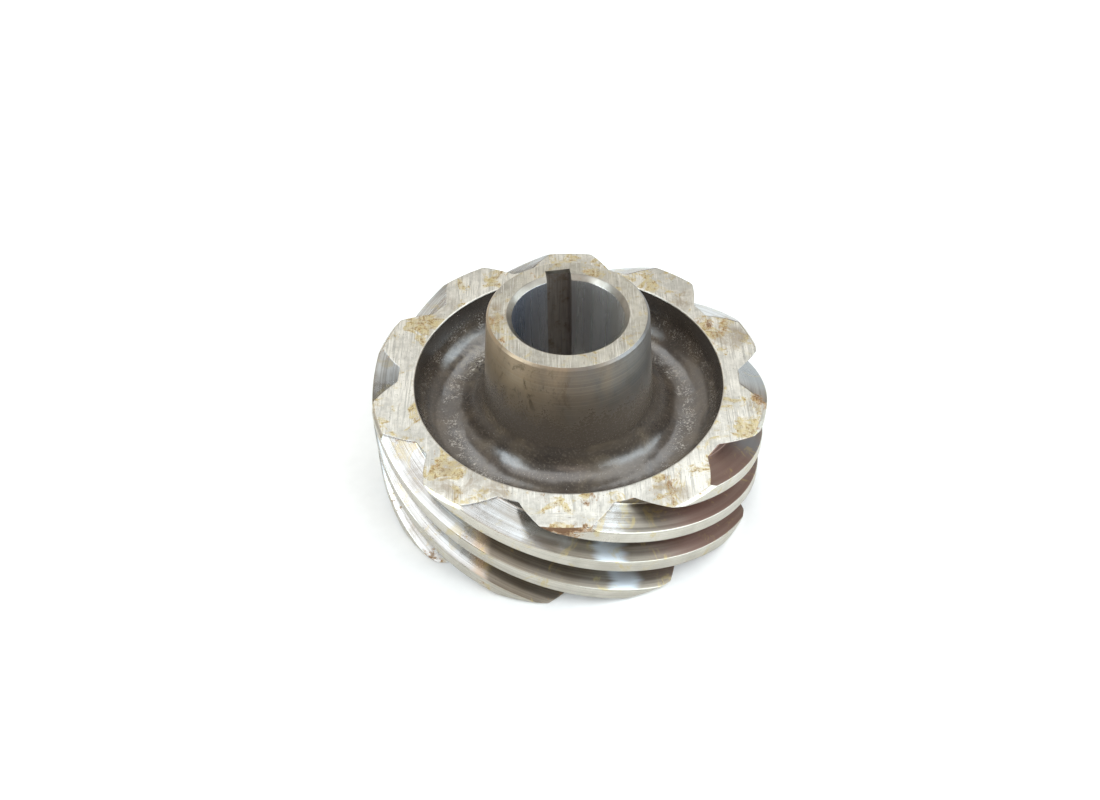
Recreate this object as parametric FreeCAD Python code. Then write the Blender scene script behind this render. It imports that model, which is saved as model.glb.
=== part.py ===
import FreeCAD, Part
import math
import os

from FreeCAD import Vector

# Crossed-helical (worm-type) gear with a raised hub, one solid piece of steel.
# Millimetres.  The bore axis is Z, the underside is z = 0 and the raised hub points up.

# ---- toothing ----
TOOTH_COUNT = 10
TIP_RADIUS = 40.5
ROOT_RADIUS = 34.9
LEAD = 87.7                      # axial advance of one tooth in one full turn, left-hand
NORMAL_PRESSURE_ANGLE = math.radians(20.0)
TIP_LAND_ANGLE = math.radians(11.6)   # width of a tip land, seen along the axis
ROOT_FILLET = 0.8
GAP_ANGLE_AT_RIM = -2.2          # degrees from +X to the first tooth gap, in the rim's top face

# ---- body ----
FACE_WIDTH = 23.5                # length of the teeth along the axis
RIM_INNER_RADIUS = 31.5         # mouth of the recess round the hub
RECESS_DEPTH = 9.5
WALL_DRAFT = math.radians(8.0)   # forging draft of the recess wall
HUB_DRAFT = math.radians(4.0)    # and of the hub
RECESS_WALL_FILLET = 6.2
HUB_FOOT_FILLET = 7.0
HUB_RADIUS = 16.0
HUB_RISE = 17.0                  # hub face above the rim's top face
TIP_CHAMFER = 0.6
HUB_CHAMFER = 0.5
RECESS_EDGE_CHAMFER = 0.25

# ---- underside ----
RELIEF_DEPTH = 1.5
RELIEF_INNER_RADIUS = 18.0
RELIEF_OUTER_RADIUS = 31.5
RELIEF_FILLET = 0.6

# ---- bore and keyway ----
BORE_RADIUS = 11.0
BORE_CHAMFER = 1.0
KEYWAY_WIDTH = 5.0
KEYWAY_REACH = 13.3              # keyway floor from the bore axis
KEYWAY_ANGLE = 98.0              # degrees from +X

# ---- derived ----
TOTAL_HEIGHT = FACE_WIDTH + HUB_RISE
FLOOR_Z = FACE_WIDTH - RECESS_DEPTH
PITCH_RADIUS = (TIP_RADIUS + ROOT_RADIUS) / 2
HELIX_ANGLE = math.atan(2 * math.pi * PITCH_RADIUS / LEAD)
TRANSVERSE_PRESSURE_ANGLE = math.atan(math.tan(NORMAL_PRESSURE_ANGLE) / math.cos(HELIX_ANGLE))
BASE_RADIUS = PITCH_RADIUS * math.cos(TRANSVERSE_PRESSURE_ANGLE)
CUTTER_OVERRUN = 2.0             # how far the gap cutters pass the blank, along and across


def polar(radius, angle):
    return Vector(radius * math.cos(angle), radius * math.sin(angle), 0)


def mirrored(point):
    """The same point on the other flank: a gap is symmetric about the X axis."""
    return Vector(point.x, -point.y, point.z)


def turned_profile():
    """Half section of the blank as (radius, height) corners."""
    wall_foot = RIM_INNER_RADIUS - RECESS_DEPTH * math.tan(WALL_DRAFT)
    hub_foot = HUB_RADIUS + (TOTAL_HEIGHT - FLOOR_Z) * math.tan(HUB_DRAFT)
    return [
        (BORE_RADIUS, 0),
        (RELIEF_INNER_RADIUS, 0),
        (RELIEF_INNER_RADIUS, RELIEF_DEPTH),
        (RELIEF_OUTER_RADIUS, RELIEF_DEPTH),
        (RELIEF_OUTER_RADIUS, 0),
        (TIP_RADIUS, 0),
        (TIP_RADIUS, FACE_WIDTH),
        (RIM_INNER_RADIUS, FACE_WIDTH),
        (wall_foot, FLOOR_Z),
        (hub_foot, FLOOR_Z),
        (HUB_RADIUS, TOTAL_HEIGHT),
        (BORE_RADIUS, TOTAL_HEIGHT),
    ]


def ring_edges(shape, places):
    """The circular edges of a turned shape at the given (radius, height) places."""
    found = []
    for edge in shape.Edges:
        if not isinstance(edge.Curve, Part.Circle):
            continue
        for radius, height in places:
            if abs(edge.Curve.Radius - radius) < 1e-3 and abs(edge.Curve.Center.z - height) < 1e-3:
                found.append(edge)
    return found


def make_blank():
    """Turned and forged blank: hub, recess, web, rim and bore, before the teeth are cut."""
    corners = turned_profile()
    points = [Vector(radius, 0, height) for radius, height in corners]
    section = Part.Face(Part.makePolygon(points + points[:1]))
    blank = section.revolve(Vector(0, 0, 0), Vector(0, 0, 1), 360)
    wall_foot, hub_foot = corners[8], corners[9]
    blank = blank.makeFillet(RECESS_WALL_FILLET, ring_edges(blank, [wall_foot]))
    blank = blank.makeFillet(HUB_FOOT_FILLET, ring_edges(blank, [hub_foot]))
    blank = blank.makeFillet(RELIEF_FILLET, ring_edges(blank, [corners[2], corners[3]]))
    blank = blank.makeChamfer(TIP_CHAMFER, ring_edges(blank, [corners[5], corners[6]]))
    blank = blank.makeChamfer(RECESS_EDGE_CHAMFER, ring_edges(blank, [corners[4], corners[7]]))
    blank = blank.makeChamfer(HUB_CHAMFER, ring_edges(blank, [corners[1], corners[10]]))
    return blank.makeChamfer(BORE_CHAMFER, ring_edges(blank, [corners[0], corners[11]]))


def make_keyway():
    """Rectangular bar that broaches the keyway over the whole length of the bore."""
    bar = Part.makeBox(KEYWAY_REACH, KEYWAY_WIDTH, TOTAL_HEIGHT, Vector(0, -KEYWAY_WIDTH / 2, 0))
    return bar.rotate(Vector(0, 0, 0), Vector(0, 0, 1), KEYWAY_ANGLE)


def flank_point(start_angle, roll):
    """Point of an involute of the base circle; roll is the string's length over the base radius."""
    tangent_angle = start_angle + roll
    string = BASE_RADIUS * roll
    contact = polar(BASE_RADIUS, tangent_angle)
    along = Vector(math.sin(tangent_angle), -math.cos(tangent_angle), 0)
    return contact + along * string


def roll_at(radius):
    return math.sqrt((radius / BASE_RADIUS) ** 2 - 1)


def gap_profile():
    """Closed outline of one tooth gap across the axis, symmetric about +X.

    Involute flanks, a root arc and a small round in each root corner.  A curve parallel to an
    involute is an involute of the same base circle, which places the centre of that round.
    """
    gap_half_angle_at_tip = math.pi / TOOTH_COUNT - TIP_LAND_ANGLE / 2
    tip_roll = roll_at(TIP_RADIUS)
    start_angle = gap_half_angle_at_tip - (tip_roll - math.atan(tip_roll))

    centre_roll = roll_at(ROOT_RADIUS + ROOT_FILLET)
    parallel_start = start_angle - ROOT_FILLET / BASE_RADIUS
    centre = flank_point(parallel_start, centre_roll)
    flank_roll = centre_roll - ROOT_FILLET / BASE_RADIUS
    flank_foot = flank_point(start_angle, flank_roll)
    root_corner = polar(ROOT_RADIUS, math.atan2(centre.y, centre.x))
    toward_corner = (flank_foot - centre) + (root_corner - centre)
    round_middle = centre + toward_corner.normalize() * ROOT_FILLET

    outer_roll = roll_at(TIP_RADIUS + CUTTER_OVERRUN)
    steps = 6
    rolls = [flank_roll + (outer_roll - flank_roll) * i / steps for i in range(steps + 1)]
    flank = [flank_point(start_angle, roll) for roll in rolls]

    def curve(points):
        spline = Part.BSplineCurve()
        spline.interpolate(points)
        return spline.toShape()

    edges = [
        Part.Arc(mirrored(root_corner), polar(ROOT_RADIUS, 0), root_corner).toShape(),
        Part.Arc(root_corner, round_middle, flank_foot).toShape(),
        curve(flank),
        Part.makeLine(flank[-1], mirrored(flank[-1])),
        curve([mirrored(point) for point in reversed(flank)]),
        Part.Arc(mirrored(flank_foot), mirrored(round_middle), mirrored(root_corner)).toShape(),
    ]
    return Part.Wire(edges)


def make_gap_cutter():
    """One tooth gap swept along its left-hand helix, past both end faces."""
    length = FACE_WIDTH + 2 * CUTTER_OVERRUN
    left_handed = True
    helix = Part.makeHelix(LEAD, length, PITCH_RADIUS, 0, left_handed)
    sweep = Part.BRepOffsetAPI.MakePipeShell(Part.Wire(helix.Edges))
    sweep.setFrenetMode(True)
    sweep.add(gap_profile(), False, False)
    sweep.build()
    sweep.makeSolid()
    cutter = sweep.shape()
    turn_to_rim = 360 * (length - CUTTER_OVERRUN) / LEAD
    cutter.rotate(Vector(0, 0, 0), Vector(0, 0, 1), GAP_ANGLE_AT_RIM + turn_to_rim)
    cutter.translate(Vector(0, 0, -CUTTER_OVERRUN))
    return cutter


def make_gear():
    gear = make_blank().cut(make_keyway())
    cutter = make_gap_cutter()
    for index in range(TOOTH_COUNT):
        turned = cutter.copy()
        turned.rotate(Vector(0, 0, 0), Vector(0, 0, 1), 360 * index / TOOTH_COUNT)
        gear = gear.cut(turned)
    return gear.Solids[0]


def main():
    os.makedirs("parts", exist_ok=True)
    gear = make_gear()
    gear.exportStep("parts/worm_gear.step")
    print("worm_gear", "valid", gear.isValid(), "solids", len(gear.Solids), "faces", len(gear.Faces))
    print("volume cm3 %.2f" % (gear.Volume / 1000))
    print("helix angle %.1f, base radius %.2f" % (math.degrees(HELIX_ANGLE), BASE_RADIUS))


main()
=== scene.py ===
"""Looks for the worm-type gear: one detailed mesh in place of the CAD node, with light, floor and camera.

Lengths in the shape code are millimetres and turn into metres when the mesh is made.
"""
import math

import bpy
from mathutils import Matrix, Vector, noise


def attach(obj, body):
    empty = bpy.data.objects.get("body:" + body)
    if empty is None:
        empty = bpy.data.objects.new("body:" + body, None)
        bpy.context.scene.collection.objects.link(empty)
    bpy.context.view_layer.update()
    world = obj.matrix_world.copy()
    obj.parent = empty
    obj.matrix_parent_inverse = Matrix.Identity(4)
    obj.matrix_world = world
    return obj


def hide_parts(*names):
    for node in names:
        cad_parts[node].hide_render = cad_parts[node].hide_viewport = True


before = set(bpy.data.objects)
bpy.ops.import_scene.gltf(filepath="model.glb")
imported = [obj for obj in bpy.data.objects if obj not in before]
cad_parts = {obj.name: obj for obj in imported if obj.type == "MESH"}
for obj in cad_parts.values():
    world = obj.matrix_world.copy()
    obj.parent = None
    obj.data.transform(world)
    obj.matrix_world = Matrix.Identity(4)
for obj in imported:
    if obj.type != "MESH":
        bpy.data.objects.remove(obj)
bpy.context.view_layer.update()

MM = 0.001

# ---- toothing, as in the CAD part ----
TEETH = 10
TIP_RADIUS = 40.5
ROOT_RADIUS = 34.9
LEAD = 87.7
HALF_LAND = math.radians(5.8)
ROOT_FILLET = 0.8
FIRST_GAP = math.radians(-2.2)
TIP_CHAMFER = 0.6
PITCH_RADIUS = (TIP_RADIUS + ROOT_RADIUS) / 2
HELIX_ANGLE = math.atan(2 * math.pi * PITCH_RADIUS / LEAD)
BASE_RADIUS = PITCH_RADIUS * math.cos(math.atan(math.tan(math.radians(20)) / math.cos(HELIX_ANGLE)))

# ---- body, as in the CAD part ----
FACE_WIDTH = 23.5
TOTAL_HEIGHT = 40.5
RIM_INNER = 31.5
FLOOR_Z = 14.0
WALL_DRAFT = math.radians(8)
HUB_DRAFT = math.radians(4)
WALL_FILLET = 6.2
FOOT_FILLET = 7.0
HUB_RADIUS = 16.0
HUB_CHAMFER = 0.5
RELIEF_INNER = 18.0
RELIEF_OUTER = 31.5
RELIEF_DEPTH = 1.5
RELIEF_FILLET = 0.6
BORE_RADIUS = 11.0
BORE_CHAMFER = 1.0
KEY_HALF = 2.5
KEY_REACH = 13.3
KEY_ANGLE = math.radians(98)

# ---- mesh layout ----
COLUMNS = 360
PER_TOOTH = COLUMNS // TEETH
STEP = 2 * math.pi / COLUMNS
TWIST = 2 * math.pi * FACE_WIDTH / LEAD
SHIFT = int(TWIST / STEP)       # columns that the teeth turn by from end to end
KEY_COLUMNS = 26
KEY_WALL_COLUMNS = 7
KEY_FIRST = round((KEY_ANGLE - FIRST_GAP) / STEP) - KEY_COLUMNS // 2
ARC_STEPS = 4
BORE_STEPS = 12
TOOTH_STEPS = 44
TURNED_SPACING = 0.55
UNDER_SPACING = 0.9
SHARP_ANGLE = math.radians(42)
UPPER_WEAR_SEED = 3.1
LOWER_WEAR_SEED = 8.4
EDGE_ROUND = 0.16
CORNER_BACK = 0.22              # the tip corner's rounding starts this far below the tip
CORNER_PAST = 0.3               # and ends this far along the land
HOLD = 0.03                     # from an edge to the ring that keeps it crisp
FACE_MARGIN = 0.15              # from the hub's chamfer to the last flat ring of its face
LAND_COLUMNS = range(13, 23)    # of the columns of one tooth


def flank_angle(radius):
    """Polar angle of the flank from the middle of the gap, at a radius."""
    def swing(rho):
        roll = math.sqrt((rho / BASE_RADIUS) ** 2 - 1)
        return roll - math.atan(roll)
    return math.pi / TEETH - HALF_LAND - (swing(TIP_RADIUS) - swing(radius))


def at(radius, angle):
    return Vector((radius * math.cos(angle), radius * math.sin(angle)))


def bezier(a, corner, b, t):
    return a * (1 - t) ** 2 + corner * (2 * t * (1 - t)) + b * t ** 2


def half_tooth(cap):
    """Points from the middle of a gap to the middle of the next tooth, 19 in all."""
    foot_radii = [ROOT_RADIUS + 0.02 * k for k in range(80)]

    def gap_to_flank(centre):
        return min((centre - at(r, flank_angle(r))).length for r in foot_radii)

    low, high = 0.0, flank_angle(ROOT_RADIUS)
    for _ in range(30):
        middle = (low + high) / 2
        if gap_to_flank(at(ROOT_RADIUS + ROOT_FILLET, middle)) > ROOT_FILLET:
            low = middle
        else:
            high = middle
    centre = at(ROOT_RADIUS + ROOT_FILLET, low)
    foot_radius = min(foot_radii, key=lambda r: (centre - at(r, flank_angle(r))).length)
    foot = at(foot_radius, flank_angle(foot_radius))
    points = [at(ROOT_RADIUS, low * k / 3) for k in range(4)]
    start = points[-1] - centre
    end = foot - centre
    sweep = end.angle_signed(start)
    for k in (1, 2, 3):
        turn = sweep * k / 3
        points.append(centre + Matrix.Rotation(turn, 2) @ start)
    corner_angle = flank_angle(cap)
    corner = at(cap, corner_angle)
    below_corner = at(cap - CORNER_BACK, flank_angle(cap - CORNER_BACK))
    land_start = corner_angle + CORNER_PAST / cap
    past_corner = at(cap, land_start)
    for k in range(1, 7):
        radius = foot_radius + (cap - CORNER_BACK - foot_radius) * k / 6
        points.append(at(radius, flank_angle(radius)))
    points[-1] = below_corner
    points += [bezier(below_corner, corner, past_corner, t) for t in (0.33, 0.67, 1)]
    points += [at(cap, land_start + (math.pi / TEETH - land_start) * k / 3) for k in (1, 2, 3)]
    return points


def outline(cap, inset, angle):
    """Closed tooth outline of 360 points, drawn in by an inset (a number for each column)."""
    half = half_tooth(cap)
    far = [at(p.length, 2 * math.pi / TEETH - math.atan2(p.y, p.x)) for p in half[1:-1]]
    tooth = half + far[::-1]
    ring = []
    for k in range(TEETH):
        turn = Matrix.Rotation(FIRST_GAP + 2 * math.pi * k / TEETH + angle, 2)
        ring += [turn @ p for p in tooth]
    moved = []
    for k, point in enumerate(ring):
        along = ring[(k + 1) % COLUMNS] - ring[k - 1]
        inward = Vector((-along.y, along.x)).normalized()
        moved.append(point + inward * inset[k])
    return moved


def bore_outline(cap):
    """Bore circle with the keyway, 360 points that start at the first gap's angle."""
    walls, base = KEY_WALL_COLUMNS, KEY_COLUMNS - 2 * KEY_WALL_COLUMNS
    half_angle = math.asin(KEY_HALF / cap)
    mouth = cap * math.cos(half_angle)
    points = []
    for k in range(walls):
        points.append((mouth + (KEY_REACH - mouth) * k / walls, -KEY_HALF))
    for k in range(base):
        points.append((KEY_REACH, -KEY_HALF + 2 * KEY_HALF * k / base))
    for k in range(walls):
        points.append((KEY_REACH + (mouth - KEY_REACH) * k / walls, KEY_HALF))
    rest = COLUMNS - KEY_COLUMNS
    for k in range(rest):
        turn = half_angle + (2 * math.pi - 2 * half_angle) * k / rest
        points.append((cap * math.cos(turn), cap * math.sin(turn)))
    spin = Matrix.Rotation(KEY_ANGLE, 2)
    ring = [spin @ Vector(p) for p in points]
    return [ring[(k - KEY_FIRST) % COLUMNS] for k in range(COLUMNS)]


def circle(radius, angle=0.0):
    return [at(radius, FIRST_GAP + angle + k * STEP) for k in range(COLUMNS)]


def rounded(corners, spacing):
    """Polyline of (radius, height, rounding) corners with arcs at the corners and even steps between."""
    path = []
    for k, (r, z, rounding) in enumerate(corners):
        here = Vector((r, z))
        if k in (0, len(corners) - 1) or not rounding:
            path.append(here)
            continue
        before = Vector(corners[k - 1][:2]) - here
        after = Vector(corners[k + 1][:2]) - here
        half = before.angle(after) / 2
        reach = rounding / math.tan(half)
        a = here + before.normalized() * reach
        b = here + after.normalized() * reach
        centre = here + (before.normalized() + after.normalized()).normalized() * rounding / math.sin(half)
        sweep = math.pi - 2 * half
        middle = (here - centre).normalized()
        side = Vector((-middle.y, middle.x))
        if side.dot(b - a) < 0:
            side = -side
        steps = max(ARC_STEPS, round(rounding * sweep / spacing))
        for n in range(steps + 1):
            swing = sweep * (n / steps - 0.5)
            point = middle * math.cos(swing) + side * math.sin(swing)
            path.append(centre + point * rounding)
    even = [path[0]]
    for a, b in zip(path, path[1:]):
        length = (b - a).length
        if length < 1e-6:
            continue
        if length > 1.6 * spacing:
            support = min(0.06 / length, 0.2)
            inner = max(1, round(length / spacing) - 1)
            cuts = [support] + [support + (1 - 2 * support) * k / inner for k in range(1, inner)]
            cuts.append(1 - support)
            even += [a.lerp(b, c) for c in cuts]
        even.append(b)
    return even


rows = []


def add_row(points, z, zone):
    """One ring of the skin.  zone names the band of faces between this ring and the next."""
    rows.append(([(p.x, p.y, z) for p in points], zone))


def bore_rows():
    """Up the bore, round its upper chamfer and out over the hub's face."""
    low = BORE_CHAMFER
    high = TOTAL_HEIGHT - BORE_CHAMFER
    add_row(bore_outline(BORE_RADIUS + HOLD), low - HOLD, "bore")
    for k in range(BORE_STEPS + 1):
        add_row(bore_outline(BORE_RADIUS), low + 0.05 + (high - low - 0.1) * k / BORE_STEPS, "bore")
    add_row(bore_outline(BORE_RADIUS + HOLD), high + HOLD, "edge")
    add_row(bore_outline(BORE_RADIUS + 0.12), high + 0.12, "edge")
    add_row(bore_outline(BORE_RADIUS + BORE_CHAMFER - 0.1), TOTAL_HEIGHT - 0.1, "edge")
    add_row(bore_outline(BORE_RADIUS + BORE_CHAMFER), TOTAL_HEIGHT - HOLD, "edge")
    inner = bore_outline(BORE_RADIUS + BORE_CHAMFER + 0.08)
    outer = circle(HUB_RADIUS - HUB_CHAMFER - FACE_MARGIN)
    add_row(inner, TOTAL_HEIGHT, "face")
    for t in (0.03, 0.25, 0.5, 0.75):
        add_row([a.lerp(b, t) for a, b in zip(inner, outer)], TOTAL_HEIGHT, "face")


def turned_rows():
    """Down the hub's side, through the recess and up to the rim's face."""
    wall_foot = RIM_INNER - (FACE_WIDTH - FLOOR_Z) * math.tan(WALL_DRAFT)
    hub_foot = HUB_RADIUS + (TOTAL_HEIGHT - FLOOR_Z) * math.tan(HUB_DRAFT)
    corners = [
        (HUB_RADIUS - HUB_CHAMFER - FACE_MARGIN, TOTAL_HEIGHT, 0),
        (HUB_RADIUS - HUB_CHAMFER, TOTAL_HEIGHT, 0.12),
        (HUB_RADIUS, TOTAL_HEIGHT - HUB_CHAMFER, 0.12),
        (hub_foot, FLOOR_Z, FOOT_FILLET),
        (wall_foot, FLOOR_Z, WALL_FILLET),
        (RIM_INNER, FACE_WIDTH, 0.25),
        (RIM_INNER + 0.5, FACE_WIDTH, 0),
    ]
    for radius, z in rounded(corners, TURNED_SPACING):
        if z > TOTAL_HEIGHT - 0.01:
            zone = "face"
        elif radius > RIM_INNER - 1:
            zone = "rim" if z > FACE_WIDTH - 0.01 else "edge" if z > FACE_WIDTH - 0.3 else "recess"
        elif z > FLOOR_Z + FOOT_FILLET:
            zone = "hub"
        else:
            zone = "recess"
        add_row(circle(radius), z, zone)


def edge_insets(seed):
    """How far the end edges are worn in, column by column: never even, with a few deeper dents."""
    insets = []
    for k in range(COLUMNS):
        turn = k * STEP
        place = Vector((6 * math.cos(turn), 6 * math.sin(turn), seed))
        value = 0.13 + 0.09 * noise.noise(place) + 0.10 * max(0, noise.noise(place * 4.7) - 0.15)
        insets.append(max(0.05, value))
    return insets


def tooth_rows():
    """Over the rim's face, round the end edges and down the teeth, each ring turned along the helix."""
    flat = [0.0] * COLUMNS
    wear = edge_insets(UPPER_WEAR_SEED)
    wear_low = edge_insets(LOWER_WEAR_SEED)
    inner = circle(RIM_INNER + 0.5)
    face_line = outline(TIP_RADIUS - TIP_CHAMFER, wear, 0)
    for t in (0.33, 0.66, 0.95):
        add_row([a.lerp(b, t) for a, b in zip(inner, face_line)], FACE_WIDTH, "rim")

    def at_depth(depth, inset):
        distance = min(depth, FACE_WIDTH - depth)
        cap = TIP_RADIUS - max(0, TIP_CHAMFER - distance)
        angle = 2 * math.pi * depth / LEAD
        zone = "teeth" if distance > TIP_CHAMFER else "chamfer"
        add_row(outline(cap, inset, angle), FACE_WIDTH - depth, zone)

    for t in (0, 0.35, 0.7):
        at_depth(EDGE_ROUND * t * t, [w * (1 - t) ** 2 for w in wear])
    depths = [EDGE_ROUND, 0.38, TIP_CHAMFER - HOLD, TIP_CHAMFER + 0.05]
    first, last = TIP_CHAMFER + 0.25, FACE_WIDTH - TIP_CHAMFER - 0.25
    depths += [first + (last - first) * k / TOOTH_STEPS for k in range(TOOTH_STEPS + 1)]
    depths += [FACE_WIDTH - d for d in (TIP_CHAMFER + 0.05, TIP_CHAMFER - HOLD, 0.38, EDGE_ROUND)]
    for depth in depths:
        at_depth(depth, flat)
    for t in (0.7, 0.35, 0):
        at_depth(FACE_WIDTH - EDGE_ROUND * t * t, [w * (1 - t) ** 2 for w in wear_low])


def underside_rows():
    """In across the underside and its relief, and round the bore's lower chamfer to the first ring."""
    start = outline(TIP_RADIUS - TIP_CHAMFER, edge_insets(LOWER_WEAR_SEED), TWIST)
    outer_ring = RELIEF_OUTER + 0.6
    inner_ring = BORE_RADIUS + BORE_CHAMFER + 2.6
    end = circle(outer_ring, TWIST)
    for t in (0.05, 0.35, 0.7):
        add_row([a.lerp(b, t) for a, b in zip(start, end)], 0, "under")
    corners = [
        (outer_ring, 0, 0),
        (RELIEF_OUTER, 0, 0.2),
        (RELIEF_OUTER, RELIEF_DEPTH, RELIEF_FILLET),
        (RELIEF_INNER, RELIEF_DEPTH, RELIEF_FILLET),
        (RELIEF_INNER, 0, 0.2),
        (inner_ring, 0, 0),
    ]
    for radius, z in rounded(corners, UNDER_SPACING):
        add_row(circle(radius, TWIST), z, "under")
    last = circle(inner_ring, TWIST)
    mouth = bore_outline(BORE_RADIUS + BORE_CHAMFER + 0.08)
    mouth = mouth[SHIFT:] + mouth[:SHIFT]
    for t in (0.5, 0.97, 1):
        add_row([a.lerp(b, t) for a, b in zip(last, mouth)], 0, "under")
    for cap, z in ((BORE_CHAMFER, HOLD), (BORE_CHAMFER - 0.1, 0.1), (0.12, BORE_CHAMFER - 0.12)):
        ring = bore_outline(BORE_RADIUS + cap)
        add_row(ring[SHIFT:] + ring[:SHIFT], z, "edge")


ZONES = ("face", "rim", "hub", "recess", "edge", "bore", "key", "land", "flank", "under")


def roughen(x, y, z, zone):
    """Small unevenness of the forged recess, along z."""
    if zone != "recess":
        return x, y, z
    radius = math.hypot(x, y)
    fade = min(1, max(0, (RIM_INNER - 1.5 - radius) / 3)) * min(1, max(0, (radius - 18) / 3))
    wave = 0.10 * noise.noise(Vector((x, y, z)) / 4.5) + 0.035 * noise.noise(Vector((x + 40, y, z)) / 1.3)
    return x, y, z + wave * fade


def build_mesh():
    """The whole skin: rings of 360 points, each joined to the next and the last to the first."""
    bore_rows()
    turned_rows()
    tooth_rows()
    underside_rows()
    mesh = bpy.data.meshes.new("worm_gear_visual")
    verts = []
    for points, zone in rows:
        verts += [tuple(c * MM for c in roughen(*p, zone)) for p in points]
    faces = []
    materials = []
    count = len(rows)
    for i, (_, zone) in enumerate(rows):
        step = SHIFT if i == count - 1 else 0
        for j in range(COLUMNS):
            nxt = (j + 1) % COLUMNS
            a = i * COLUMNS + j
            b = i * COLUMNS + nxt
            below = ((i + 1) % count) * COLUMNS
            c = below + (nxt + step) % COLUMNS
            d = below + (j + step) % COLUMNS
            faces.append((a, b, c, d))
            name = zone
            if zone == "bore" and KEY_FIRST <= j < KEY_FIRST + KEY_COLUMNS:
                name = "key"
            elif zone in ("teeth", "chamfer"):
                name = "land" if j % PER_TOOTH in LAND_COLUMNS else "flank"
            materials.append(ZONES.index(name))
    mesh.from_pydata(verts, [], faces)
    mesh.update()
    mesh.polygons.foreach_set("material_index", materials)
    mesh.polygons.foreach_set("use_smooth", [True] * len(faces))
    mesh.set_sharp_from_angle(angle=SHARP_ANGLE)
    obj = bpy.data.objects.new("worm_gear_visual", mesh)
    bpy.context.scene.collection.objects.link(obj)
    return obj


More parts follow.
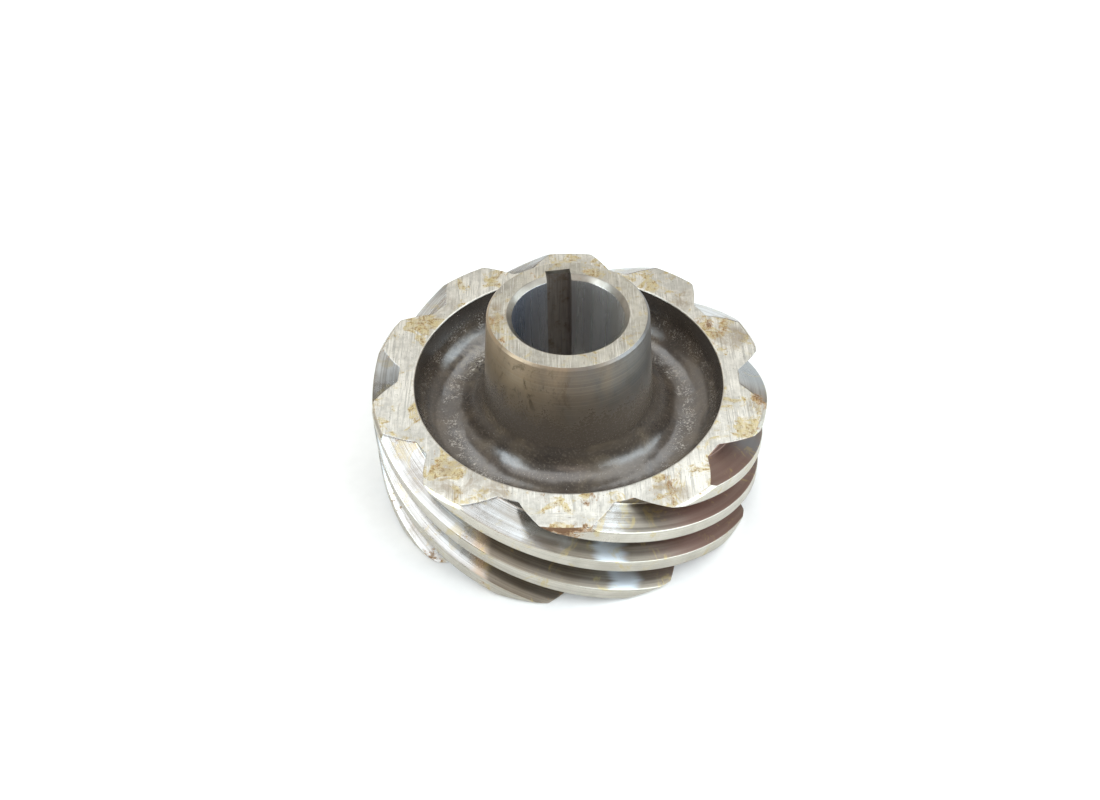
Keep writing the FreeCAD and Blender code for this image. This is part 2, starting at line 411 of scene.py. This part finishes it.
# ---- materials ----
class Shader:
    """A Principled material with short names for the nodes used here.

    x, y, z and radius are the object's own coordinates in metres; radius is the distance from the bore axis.
    """

    def __init__(self, name, roughness, metallic, **settings):
        self.material = bpy.data.materials.new(name)
        self.material.use_nodes = True
        self.tree = self.material.node_tree
        self.nodes = self.tree.nodes
        self.bsdf = self.nodes["Principled BSDF"]
        self.bsdf.inputs["Roughness"].default_value = roughness
        self.bsdf.inputs["Metallic"].default_value = metallic
        for key, value in settings.items():
            self.bsdf.inputs[key].default_value = value
        self.place = self.nodes.new("ShaderNodeTexCoord").outputs["Object"]
        parts = self.nodes.new("ShaderNodeSeparateXYZ")
        self.link(self.place, parts.inputs[0])
        self.x, self.y, self.z = parts.outputs
        square = self.plus(self.math("POWER", self.x, 2.0), self.math("POWER", self.y, 2.0))
        self.radius = self.math("SQRT", square)

    def link(self, source, target):
        self.tree.links.new(source, target)

    def put(self, target, value):
        if isinstance(value, bpy.types.NodeSocket):
            self.link(value, target)
        elif target.type == "RGBA":
            target.default_value = (*value, 1)
        else:
            target.default_value = value

    # -- arithmetic --
    def math(self, operation, a, b=0.0):
        node = self.nodes.new("ShaderNodeMath")
        node.operation = operation
        self.put(node.inputs[0], a)
        self.put(node.inputs[1], b)
        return node.outputs["Value"]

    def plus(self, first, *others):
        for other in others:
            first = self.math("ADD", first, other)
        return first

    def minus(self, a, b):
        return self.math("SUBTRACT", a, b)

    def times(self, first, *others):
        for other in others:
            first = self.math("MULTIPLY", first, other)
        return first

    def most(self, a, b):
        return self.math("MAXIMUM", a, b)

    def blend(self, a, b, share):
        """share of a and the rest of b."""
        return self.plus(self.times(a, share), self.times(b, 1 - share))

    # -- patterns --
    def moved(self, scale=(1, 1, 1), turn=0, source=None):
        """Coordinates scaled along each axis, and turned about the bore axis by some degrees."""
        node = self.nodes.new("ShaderNodeMapping")
        self.link(source or self.place, node.inputs["Vector"])
        node.inputs["Rotation"].default_value = (0, 0, math.radians(turn))
        node.inputs["Scale"].default_value = scale
        return node.outputs["Vector"]

    def unscrewed(self):
        """Coordinates turned back along the helix, so that a tooth runs straight up."""
        node = self.nodes.new("ShaderNodeVectorRotate")
        node.rotation_type = "Z_AXIS"
        self.link(self.place, node.inputs["Vector"])
        self.link(self.times(self.z, 2 * math.pi / (LEAD * MM)), node.inputs["Angle"])
        return node.outputs["Vector"]

    def profile(self):
        """Coordinates (radius, 0, height), the same all the way round the bore axis."""
        node = self.nodes.new("ShaderNodeCombineXYZ")
        self.link(self.radius, node.inputs["X"])
        self.link(self.z, node.inputs["Z"])
        return node.outputs[0]

    def noise(self, size, detail, rough, source=None, warp=0.0):
        """Noise with features about so many millimetres across."""
        node = self.nodes.new("ShaderNodeTexNoise")
        self.link(source or self.place, node.inputs["Vector"])
        node.inputs["Scale"].default_value = 1 / (size * MM)
        node.inputs["Detail"].default_value = detail
        node.inputs["Roughness"].default_value = rough
        node.inputs["Distortion"].default_value = warp
        return node.outputs["Fac"]

    def step(self, value, low, high):
        """0 at low, 1 at high, smooth between.  low may be the greater."""
        node = self.nodes.new("ShaderNodeMapRange")
        node.interpolation_type = "SMOOTHSTEP"
        self.put(node.inputs["Value"], value)
        node.inputs["From Min"].default_value = low
        node.inputs["From Max"].default_value = high
        return node.outputs["Result"]

    def past(self, length, low, high):
        """step for a length, with its two ends in millimetres."""
        return self.step(length, low * MM, high * MM)

    def between(self, value, low, high):
        """A noise value spread evenly from low to high."""
        node = self.nodes.new("ShaderNodeMapRange")
        self.put(node.inputs["Value"], value)
        node.inputs["From Min"].default_value = 0.3
        node.inputs["From Max"].default_value = 0.7
        node.inputs["To Min"].default_value = low
        node.inputs["To Max"].default_value = high
        return node.outputs["Result"]

    def blob(self, centre, reach, softness=0.55):
        """1 inside a ball round a point in millimetres, 0 outside its reach."""
        node = self.nodes.new("ShaderNodeVectorMath")
        node.operation = "DISTANCE"
        self.link(self.place, node.inputs[0])
        node.inputs[1].default_value = [c * MM for c in centre]
        return self.past(node.outputs["Value"], reach, reach * (1 - softness))

    def blobs(self, places):
        """The greatest of the blobs at a list of (centre, reach)."""
        total = self.blob(*places[0])
        for place in places[1:]:
            total = self.most(total, self.blob(*place))
        return total

    # -- colours --
    def ramp(self, value, *stops):
        node = self.nodes.new("ShaderNodeValToRGB")
        self.put(node.inputs["Fac"], value)
        elements = node.color_ramp.elements
        while len(elements) < len(stops):
            elements.new(0.5)
        for element, (spot, colour) in zip(elements, stops):
            element.position = spot
            element.color = (*colour, 1)
        return node.outputs["Color"]

    def mix(self, factor, a, b):
        node = self.nodes.new("ShaderNodeMix")
        node.data_type = "RGBA"
        self.put(node.inputs["Factor"], factor)
        self.put(node.inputs[6], a)
        self.put(node.inputs[7], b)
        return node.outputs[2]

    def over(self, below, colour, *amounts):
        """A colour laid over another, as strongly as the product of the amounts."""
        return self.mix(self.times(*amounts), below, colour)

    # -- the shader's own sockets --
    def bump(self, height, strength, distance):
        node = self.nodes.new("ShaderNodeBump")
        self.put(node.inputs["Height"], height)
        node.inputs["Strength"].default_value = strength
        node.inputs["Distance"].default_value = distance * MM
        self.link(node.outputs["Normal"], self.bsdf.inputs["Normal"])

    def colour(self, value):
        self.put(self.bsdf.inputs["Base Color"], value)

    def roughness(self, value):
        self.put(self.bsdf.inputs["Roughness"], value)

    def metallic(self, value):
        self.put(self.bsdf.inputs["Metallic"], value)


OLIVE = (0.48, 0.375, 0.13)
OLIVE_CRUMB = (0.22, 0.125, 0.04)
GRIME = (0.24, 0.19, 0.13)
RUST = (0.32, 0.165, 0.04)
DARK_RUST = (0.10, 0.045, 0.02)
PIT = (0.12, 0.10, 0.08)
FLANK_PIT = (0.07, 0.05, 0.04)
FRESH_SCRATCH = (0.86, 0.84, 0.80)
SCALE_DARK, SCALE, SCALE_BROWN = (0.048, 0.039, 0.033), (0.085, 0.066, 0.049), (0.145, 0.112, 0.075)
# The last of these is painted shade for the upper outer wall of the recess.
SCALE_GRAIN, SCALE_PALE, SCALE_PAINTED_SHADE = (0.26, 0.215, 0.17), (0.24, 0.205, 0.15), (0.028, 0.023, 0.020)
BARE_SPECK = (0.62, 0.57, 0.50)
# The hub side's three tones are painted light and shade, lighter on the left and darker towards the right.
HUB_LEFT_PAINTED_LIGHT, HUB_FRONT_PAINTED_HALF_SHADE, HUB_RIGHT_PAINTED_SHADE = (0.32, 0.235, 0.145), (0.19, 0.145, 0.10), (0.135, 0.13, 0.125)
HUB_MARK, HUB_STAIN, HUB_FOOT = (0.36, 0.31, 0.24), (0.085, 0.058, 0.028), (0.090, 0.070, 0.052)
# The bore's tones across x are painted shade on the left and painted light on the right.
BORE_LEFT_PAINTED_SHADE, BORE_MIDDLE, BORE_RIGHT_PAINTED_LIGHT = (0.27, 0.30, 0.37), (0.60, 0.58, 0.55), (1.0, 0.95, 0.86)
BORE_BAND, BORE_STAIN = (0.26, 0.25, 0.25), (0.30, 0.19, 0.10)
KEY_DARK, KEY_LIGHT, KEY_STAIN = (0.20, 0.175, 0.155), (0.32, 0.285, 0.25), (0.15, 0.10, 0.065)
# Brown oil and painted shade on the lower front flanks, dark to light.
OIL_AND_SHADE_DARK, OIL_AND_SHADE_LIGHT = (0.115, 0.092, 0.068), (0.26, 0.218, 0.165)
# The second, third and fourth of these are painted reflections: a pale blue streak, a reddish patch and a
# slate-grey patch.
TAN, PAINTED_REFLECTION_BLUE, REDDISH_REFLECTION, SLATE_REFLECTION = (0.44, 0.32, 0.21), (0.60, 0.66, 0.72), (0.23, 0.135, 0.11), (0.21, 0.235, 0.25)
EDGE_DARK, EDGE_LIGHT, MOUTH = (0.42, 0.39, 0.34), (0.68, 0.65, 0.58), (0.17, 0.15, 0.125)

# Where stains sit, in millimetres: (x, y, z), reach.
RIM_SPOTS = (
    ((17.4, -30.2, FACE_WIDTH), 4.5),
    ((35.5, -16.5, FACE_WIDTH), 5.0),
    ((3.0, -33.0, FACE_WIDTH), 2.5),
    ((26.0, -24.0, FACE_WIDTH), 2.0),
    ((18.0, 30.5, FACE_WIDTH), 5.0),
    ((31.0, 14.0, FACE_WIDTH), 6.0),
    ((-24.0, -24.5, FACE_WIDTH), 5.0),
    ((-31.0, 17.0, FACE_WIDTH), 4.5),
    ((-3.5, -39.9, FACE_WIDTH), 1.8),
    ((-0.3, -40.0, FACE_WIDTH), 1.8),
    ((2.4, -39.7, FACE_WIDTH), 1.3),
    ((38.5, -7.5, FACE_WIDTH), 2.5),
    ((33.0, -21.0, FACE_WIDTH), 3.0),
)
HUB_SPOTS = (
    ((4.7, 12.6, TOTAL_HEIGHT), 2.6),
    ((-14.0, -3.5, TOTAL_HEIGHT), 4.2),
    ((-12.0, -8.0, TOTAL_HEIGHT), 3.2),
)
CRUST_SPOTS = (
    ((-3.5, -40.2, 23.3), 4.0),
    ((0.6, -40.4, 23.3), 4.0),
    ((39.0, -8.0, FACE_WIDTH), 4.0),
    ((17.4, -31.0, FACE_WIDTH), 4.5),
    ((3.0, -33.0, FACE_WIDTH), 3.0),
    ((31.0, 14.0, FACE_WIDTH), 4.0),
)
GRIME_SPOTS = (
    ((-22.0, -27.5, FACE_WIDTH), 6.5),
    ((-14.5, -31.0, FACE_WIDTH), 4.0),
    ((24.5, 23.5, FACE_WIDTH), 5.0),
    ((34.5, 10.5, FACE_WIDTH), 5.0),
    ((18.5, -31.5, FACE_WIDTH), 4.5),
    ((38.0, -10.0, FACE_WIDTH), 3.5),
    ((-27.0, 22.0, FACE_WIDTH), 4.5),
    ((-13.5, 0.0, TOTAL_HEIGHT), 4.5),
)
TOOTH_SPOTS = (
    ((-2.0, -40.2, 23.2), 3.2),
    ((-5.0, -40.0, 22.6), 2.2),
    ((-20.0, -35.0, 16.5), 3.0),
    ((-36.0, -18.5, 6.0), 4.0),
    ((-29.0, -28.0, 3.0), 4.5),
    ((-18.0, -36.0, 1.0), 4.0),
)
HUB_STAINED = ((-9, -14, 32), 13, 0.9)
PALE_PATCH = ((-20.5, 15.5, 14.5), 11, 0.9)
# Painted reflections on the flanks, each (x, y, z), reach, softness: a reddish patch and two slate-grey
# patches.
RED_REFLECTION_PATCH = ((31, -24, 12), 24, 0.6)
SLATE_REFLECTION_PATCHES = (((39, 5, 16), 13, 0.7), ((37, -13, 20), 8, 0.8))


def shade_of(colour, amount):
    return tuple(c * amount for c in colour)


def scratches(s):
    """Fine and coarse grinding lines along Y, level ones on the front tooth, and a few across."""
    hair = s.noise(0.13, 3, 0.6, s.moved((1, 0.02, 0.3), 5))
    along = s.noise(0.30, 4, 0.65, s.moved((1, 0.035, 0.3), -6))
    level = s.noise(0.30, 4, 0.65, s.moved((0.035, 1, 0.3), 4))
    lines = s.mix(s.past(s.y, -35.5, -36.5), along, level)
    crossing = s.noise(0.30, 3, 0.6, s.moved((1, 0.03, 0.3), 26))
    return hair, lines, crossing


def ground_steel(name, base, stain, places):
    """Flat ground faces: straight fine scratches, oil and rust stains, small pits."""
    s = Shader(name, 0.36, 1.0)
    hair, lines, crossing = scratches(s)
    cloud = s.noise(10, 5, 0.6)
    mottle = s.noise(1.5, 6, 0.68)
    fine = s.noise(0.35, 5, 0.7)
    steel = s.ramp(s.blend(cloud, mottle, 0.65), (0.40, shade_of(base, 0.64)), (0.56, base))
    steel = s.over(steel, shade_of(base, 0.42), s.step(lines, 0.51, 0.60), s.step(cloud, 0.38, 0.58), 0.62)
    steel = s.over(steel, shade_of(base, 0.45), s.step(crossing, 0.62, 0.70), 0.3)
    steel = s.over(steel, FRESH_SCRATCH, s.step(hair, 0.56, 0.68), 0.5)

    near = s.times(s.blobs(places), 0.07)
    outward = s.past(s.radius, 36, 40)
    field = s.plus(s.noise(5.5, 9, 0.72, warp=1.1), near, s.times(outward, 0.03))
    steel = s.over(steel, OLIVE, s.step(field, 0.53, 0.60), stain, s.between(mottle, 0.3, 1.0))
    crumbs = s.step(s.noise(0.8, 8, 0.76), 0.51, 0.58)
    steel = s.over(steel, OLIVE_CRUMB, crumbs, s.step(field, 0.53, 0.62), 0.75)
    patchy = s.step(s.noise(4, 8, 0.7, warp=0.6), 0.38, 0.58)
    steel = s.over(steel, GRIME, s.blobs(GRIME_SPOTS), patchy, 0.6)

    speck = s.noise(2.2, 12, 0.80, s.moved((1, 0.55, 1), 20))
    speck = s.plus(speck, near, s.times(s.blobs(CRUST_SPOTS), 0.065))
    rust = s.step(speck, 0.61, 0.67)
    steel = s.over(steel, RUST, rust, 0.75)
    steel = s.over(steel, DARK_RUST, s.step(speck, 0.66, 0.71), 0.85)
    pits = s.step(s.noise(0.3, 2, 0.5), 0.66, 0.73)
    s.colour(s.over(steel, PIT, pits, 0.7))
    s.metallic(s.minus(1.0, s.times(rust, 0.8)))
    s.roughness(s.plus(s.between(fine, 0.28, 0.40), s.times(rust, 0.35)))
    height = s.minus(s.plus(hair, s.times(fine, 0.5)), s.times(lines, 0.8))
    height = s.minus(height, s.times(pits, 0.8))
    s.bump(s.plus(height, rust), 0.2, 0.05)
    return s.material


def pale_specks(s):
    """Bare specks in two arcs on the left and right of the recess, and a few anywhere in it."""
    inner_arc = s.times(s.past(s.radius, 22.6, 24.0), s.past(s.radius, 27.2, 25.6))
    outer_arc = s.times(s.past(s.radius, 29.1, 30.1), s.past(s.radius, 31.2, 30.6))
    sides = s.past(s.math("ABSOLUTE", s.plus(s.x, -3 * MM)), 13, 21)
    arcs = s.times(s.most(inner_arc, s.times(outer_arc, 0.5)), sides)
    grouped = s.step(s.noise(3.0, 7, 0.74), 0.47, 0.56)
    in_arcs = s.times(s.step(s.noise(0.42, 7, 0.78), 0.53, 0.56), grouped, arcs)
    loose = s.times(s.step(s.noise(0.36, 2, 0.5), 0.73, 0.77), 0.7)
    return s.most(in_arcs, loose)


def forged_steel():
    """The recess: dark scale with a soft shine, grain, brown patches, pale specks in arcs, and painted shade
    on the upper outer wall.
    """
    s = Shader("gear_forged", 0.25, 0.15, IOR=1.9)
    cloud = s.noise(8, 6, 0.62, warp=0.8)
    grain = s.noise(0.5, 6, 0.7)
    specks = pale_specks(s)
    tone = s.ramp(cloud, (0.32, SCALE_DARK), (0.52, SCALE), (0.70, SCALE_BROWN))
    tone = s.over(tone, SCALE_GRAIN, s.step(grain, 0.5, 0.68), 0.4)
    swirl = s.step(s.noise(3, 6, 0.7, warp=1.5), 0.42, 0.60)
    tone = s.over(tone, SCALE_PALE, s.blob(*PALE_PATCH), swirl, 0.7)
    # Painted shade: darker high on the outer wall, under the rim's inner edge.
    tone = s.over(tone, SCALE_PAINTED_SHADE, s.past(s.z, 16.5, 21), s.past(s.radius, 27, 29.5), 0.7)
    s.colour(s.over(tone, BARE_SPECK, specks, 0.9))
    s.roughness(s.plus(s.between(cloud, 0.17, 0.29), s.times(specks, 0.4)))
    s.bump(s.plus(s.times(grain, 0.35), s.noise(2.2, 3, 0.5), specks), 0.16, 0.10)
    return s.material


def turned_steel():
    """Hub side: fine marks round it, and painted light and shade across it: light brown on the left, darker
    brown at the front, dark blue-grey on the right.
    """
    s = Shader("gear_hub_side", 0.34, 0.75, IOR=1.9)
    marks = s.noise(0.3, 4, 0.7, s.profile())
    cloud = s.noise(5, 6, 0.65, s.moved((1, 1, 0.4)), warp=0.4)
    fine = s.noise(0.5, 5, 0.7)
    # Painted light and shade: the tone follows x, from the lighter left to the darker right, with some
    # cloud.
    lean = s.plus(s.times(s.x, 0.024 / MM), s.times(cloud, 0.8))
    tone = s.ramp(lean, (0.06, HUB_LEFT_PAINTED_LIGHT), (0.38, HUB_FRONT_PAINTED_HALF_SHADE), (0.70, HUB_RIGHT_PAINTED_SHADE))
    tone = s.over(tone, HUB_MARK, s.step(marks, 0.45, 0.65), 0.3)
    stain = s.step(s.noise(2.4, 10, 0.78, s.moved((1, 1, 0.6)), warp=0.7), 0.51, 0.60)
    tone = s.over(tone, HUB_STAIN, stain, s.plus(s.times(s.blob(*HUB_STAINED), 0.7), 0.2))
    height = s.plus(s.z, s.times(s.plus(cloud, -0.5), 20 * MM))
    foot = s.past(height, 35, 24.5)
    s.colour(s.over(tone, HUB_FOOT, foot))
    s.metallic(s.minus(0.75, s.times(foot, 0.6)))
    s.roughness(s.minus(s.between(fine, 0.32, 0.42), s.times(foot, 0.11)))
    s.bump(s.plus(marks, s.times(fine, 0.5)), 0.2, 0.05)
    return s.material


def bore_steel():
    """Bore: smooth bored steel with soft bands along the axis, and painted light and shade across it: darker
    and bluer on the left, near white on the right.
    """
    s = Shader("gear_bore", 0.3, 0.85)
    bands = s.noise(2.2, 3, 0.55, s.moved((1, 1, 0.04)))
    # Painted light and shade: dark blue-grey on the left, near white on the right.
    across = s.plus(s.times(s.x, 0.04 / MM), 0.5)
    tone = s.ramp(across, (0.15, BORE_LEFT_PAINTED_SHADE), (0.55, BORE_MIDDLE), (0.80, BORE_RIGHT_PAINTED_LIGHT))
    tone = s.over(tone, BORE_BAND, s.step(bands, 0.38, 0.62), 0.3)
    s.colour(s.over(tone, BORE_STAIN, s.step(s.noise(1.0, 6, 0.7), 0.64, 0.70), 0.6))
    s.roughness(s.between(bands, 0.24, 0.30))
    return s.material


def key_steel():
    """Keyway: broached steel, dark brown, with marks along the cut."""
    s = Shader("gear_keyway", 0.4, 0.6)
    marks = s.noise(0.4, 4, 0.65, s.moved((1, 1, 0.05)))
    tone = s.ramp(marks, (0.35, KEY_DARK), (0.65, KEY_LIGHT))
    s.colour(s.over(tone, KEY_STAIN, s.step(s.noise(2, 6, 0.7), 0.5, 0.66), 0.6))
    s.roughness(s.between(marks, 0.34, 0.50))
    s.bump(marks, 0.15, 0.05)
    return s.material


def front_flank_oil_and_light(s, tone, cloud, streaks, broad, oil, painted_reflection_amount):
    """Brown oil with painted shade on the front flanks, its tan edge, a painted reflection streak of pale
    blue, and painted reflections in a red and a slate-grey patch.
    """
    low = s.past(s.plus(s.z, s.times(cloud, 6 * MM)), 22.5, 19.5)
    right = s.past(s.plus(s.x, s.times(streaks, 6 * MM)), 10, 14)
    ragged = s.plus(s.x, s.times(cloud, 4 * MM))
    forward = s.past(ragged, -15.8, -13.8)
    facing = s.past(s.y, 4, -10)
    low_front = s.times(low, facing)
    # Brown oil and painted shade together: the lower flanks on the front side, except the far left, made
    # darker.
    oil_and_shade = s.times(s.most(s.times(low, forward), right), facing)
    tone = s.mix(s.times(oil_and_shade, oil), tone, s.ramp(broad, (0.35, OIL_AND_SHADE_DARK), (0.65, OIL_AND_SHADE_LIGHT)))
    tan_edge = s.times(s.past(ragged, -18.5, -16.0), low_front, s.minus(1.0, forward))
    tone = s.over(tone, TAN, tan_edge, 0.7 * oil)
    # Painted reflection: a pale blue streak slanting across the lower front flanks.
    slanted = s.plus(s.x, s.times(s.z, 0.3), s.times(broad, 4 * MM))
    strip = s.times(s.past(slanted, 9.5, 11.8), s.past(slanted, 16.5, 14.0))
    tone = s.over(tone, PAINTED_REFLECTION_BLUE, strip, oil, low_front, 0.75)
    # Painted reflections: a reddish patch and slate-grey patches on the flanks.
    tone = s.over(tone, REDDISH_REFLECTION, s.blob(*RED_REFLECTION_PATCH), painted_reflection_amount)
    return s.over(tone, SLATE_REFLECTION, s.blobs(SLATE_REFLECTION_PATCHES), painted_reflection_amount), oil_and_shade


# oil sets the strength of the brown oil with painted shade on the front flanks, and of the painted
# reflection streak there.
def cut_steel(name, dark, bright, stain, painted_reflection_amount, oil):
    """Cut tooth surfaces: fine streaks along the teeth, brown oil with painted shade and painted reflections
    on the front flanks, stains and pits.
    """
    s = Shader(name, 0.3, 1.0)
    straight = s.unscrewed()
    streaks = s.noise(0.28, 4, 0.6, s.moved((1, 1, 0.012), source=straight))
    broad = s.noise(1.2, 4, 0.6, s.moved((1, 1, 0.02), source=straight))
    cloud = s.noise(9, 5, 0.6, warp=0.5)
    tone = s.ramp(s.blend(cloud, broad, 0.6), (0.40, dark), (0.60, bright))
    tone = s.over(tone, shade_of(dark, 0.55), s.step(streaks, 0.48, 0.64), 0.5)
    tone, oil_and_shade = front_flank_oil_and_light(s, tone, cloud, streaks, broad, oil, painted_reflection_amount)
    tone = s.over(tone, OLIVE, s.step(s.noise(5, 7, 0.68, warp=0.9), 0.54, 0.64), stain)

    near = s.times(s.plus(s.blobs(TOOTH_SPOTS), s.blobs(CRUST_SPOTS)), 0.12)
    ends = s.most(s.past(s.z, FACE_WIDTH - 0.7, FACE_WIDTH - 0.2), s.past(s.z, 0.9, 0.3))
    speck = s.plus(s.noise(1.5, 12, 0.80, s.moved((1, 1, 2.2))), near, s.times(ends, 0.09))
    rust = s.step(speck, 0.64, 0.70)
    tone = s.over(tone, RUST, rust, 0.8)
    tone = s.over(tone, DARK_RUST, s.step(speck, 0.69, 0.76), 0.85)
    pits = s.step(s.noise(0.3, 2, 0.5), 0.71, 0.77)
    s.colour(s.over(tone, FLANK_PIT, pits, 0.7))
    s.metallic(s.minus(1.0, s.times(rust, 0.8)))
    dull = s.most(s.times(rust, 0.35), s.times(oil_and_shade, 0.14))
    s.roughness(s.plus(s.between(cloud, 0.22, 0.32), dull))
    s.bump(s.minus(streaks, s.times(pits, 0.8)), 0.06, 0.03)
    return s.material


def edge_steel():
    """Broken and chamfered edges, rubbed bright, with a darker one round the bore."""
    s = Shader("gear_edge", 0.34, 1.0)
    fine = s.noise(0.5, 5, 0.7)
    tone = s.ramp(s.noise(2.5, 5, 0.65), (0.35, EDGE_DARK), (0.65, EDGE_LIGHT))
    tone = s.over(tone, RUST, s.step(s.noise(1.5, 7, 0.7), 0.60, 0.68), 0.7)
    mouth = s.past(s.radius, 13.5, 12.5)
    s.colour(s.over(tone, MOUTH, mouth, s.between(s.noise(6, 3, 0.5), 1.0, 0.55)))
    s.roughness(s.between(fine, 0.30, 0.42))
    s.bump(fine, 0.3, 0.05)
    return s.material


def paint(obj):
    """One material for each zone of the mesh."""
    made = {
        "face": ground_steel("gear_hub_face", (0.47, 0.445, 0.385), 0.6, HUB_SPOTS),
        "rim": ground_steel("gear_rim_face", (0.64, 0.62, 0.565), 0.85, RIM_SPOTS),
        "hub": turned_steel(),
        "recess": forged_steel(),
        "edge": edge_steel(),
        "bore": bore_steel(),
        "key": key_steel(),
        "land": cut_steel("gear_land", (0.44, 0.41, 0.35), (0.61, 0.58, 0.51), 0.5, 0.0, 0.0),
        "flank": cut_steel("gear_flank", (0.34, 0.32, 0.29), (0.62, 0.64, 0.65), 0.35, 0.8, 0.9),
    }
    made["under"] = made["face"]
    for zone in ZONES:
        obj.data.materials.append(made[zone])


# ---- the photograph's viewpoint ----
SENSOR_WIDTH = 36
FOCAL_LENGTH = 39.81
CAMERA_TILT = math.radians(45.24)
CAMERA_ROLL = math.radians(-1.14)
CAMERA_PLACE = (-0.00384, -0.17877, 0.19675)


def make_camera():
    data = bpy.data.cameras.new("camera")
    data.sensor_width = SENSOR_WIDTH
    data.lens = FOCAL_LENGTH
    data.clip_start = 0.01
    data.clip_end = 50
    camera = bpy.data.objects.new("camera", data)
    bpy.context.scene.collection.objects.link(camera)
    flat = Vector((1, 0, 0))
    down = Vector((0, -math.sin(CAMERA_TILT), -math.cos(CAMERA_TILT)))
    ahead = Vector((0, math.cos(CAMERA_TILT), -math.sin(CAMERA_TILT)))
    right = flat * math.cos(CAMERA_ROLL) - down * math.sin(CAMERA_ROLL)
    up = -(flat * math.sin(CAMERA_ROLL) + down * math.cos(CAMERA_ROLL))
    spin = Matrix((right, up, -ahead)).transposed().to_4x4()
    camera.matrix_world = Matrix.Translation(CAMERA_PLACE) @ spin
    bpy.context.scene.camera = camera


# ---- light and floor ----
COOL = (0.78, 0.91, 1.0)
PALE = (0.92, 0.97, 1.0)
WHITE = (1.0, 1.0, 1.0)
WARM = (1.0, 0.97, 0.90)
SKIN = (1.0, 0.84, 0.72)
LIT_POINT = Vector((0, 0, 0.02))

# name, azimuth and elevation in degrees, distance, width and height in metres, radiance, colour
SOFTBOXES = (
    ("right_window", -16, 25, 0.8, 0.95, 0.50, 5.0, COOL),
    ("left_window", -160, 28, 0.8, 0.36, 0.75, 5.2, COOL),
    ("overhead", -115, 63, 0.9, 1.00, 0.45, 1.9, WHITE),
    ("overhead_right", -12, 57, 0.9, 0.70, 0.50, 1.9, PALE),
    ("back_high", 90, 62, 0.9, 0.90, 0.42, 2.4, PALE),
    ("back_low", 90, 33, 1.0, 1.10, 0.45, 0.8, WARM),
    ("fill_left_back", 142, 24, 1.0, 0.60, 0.60, 0.9, WARM),
    ("fill_right_back", 42, 22, 1.0, 0.50, 0.60, 0.4, WARM),
    ("fill_front", -88, 30, 1.0, 0.50, 0.45, 1.1, SKIN),
)
ROOM = (0.26, 0.245, 0.225)
FLOOR_HALF = 6.0
FLOOR_LEVEL = -0.0002


def softbox(name, azimuth, elevation, distance, width, height, radiance, colour):
    """A rectangular area light on a sphere round the object, facing its middle."""
    data = bpy.data.lights.new(name, "AREA")
    data.shape = "RECTANGLE"
    data.size = width
    data.size_y = height
    data.energy = radiance * math.pi * width * height
    data.color = colour
    light = bpy.data.objects.new(name, data)
    bpy.context.scene.collection.objects.link(light)
    turn, rise = math.radians(azimuth), math.radians(elevation)
    away = Vector((math.cos(turn) * math.cos(rise), math.sin(turn) * math.cos(rise), math.sin(rise)))
    light.location = LIT_POINT + away * distance
    light.rotation_euler = away.to_track_quat("Z", "Y").to_euler()


def make_floor():
    """A pale sheet that glows more the farther it is, so that it meets the white background unseen."""
    mesh = bpy.data.meshes.new("floor")
    corners = ((-1, -1), (1, -1), (1, 1), (-1, 1))
    mesh.from_pydata([(x * FLOOR_HALF, y * FLOOR_HALF, FLOOR_LEVEL) for x, y in corners], [], [(0, 1, 2, 3)])
    floor = bpy.data.objects.new("floor", mesh)
    bpy.context.scene.collection.objects.link(floor)
    s = Shader("floor_paper", 0.8, 0.0)
    s.colour(s.ramp(s.noise(3, 3, 0.55), (0.3, (0.88, 0.87, 0.85)), (0.7, (0.91, 0.90, 0.88))))
    s.put(s.bsdf.inputs["Emission Color"], WHITE)
    s.put(s.bsdf.inputs["Emission Strength"], s.past(s.radius, 150, 900))
    mesh.materials.append(s.material)


def make_world():
    """White to the camera, and a dim warm room to everything else."""
    world = bpy.data.worlds.new("studio")
    world.use_nodes = True
    bpy.context.scene.world = world
    tree = world.node_tree
    background = tree.nodes["Background"]
    path = tree.nodes.new("ShaderNodeLightPath")
    mix = tree.nodes.new("ShaderNodeMix")
    mix.data_type = "RGBA"
    mix.inputs[6].default_value = (*ROOM, 1)
    mix.inputs[7].default_value = (*WHITE, 1)
    tree.links.new(path.outputs["Is Camera Ray"], mix.inputs["Factor"])
    tree.links.new(mix.outputs[2], background.inputs["Color"])


gear = build_mesh()
paint(gear)
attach(gear, "root")
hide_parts("worm_gear")

make_floor()
make_world()
for box in SOFTBOXES:
    softbox(*box)
make_camera()

scene = bpy.context.scene
scene.view_settings.view_transform = "Standard"
scene.view_settings.look = "None"
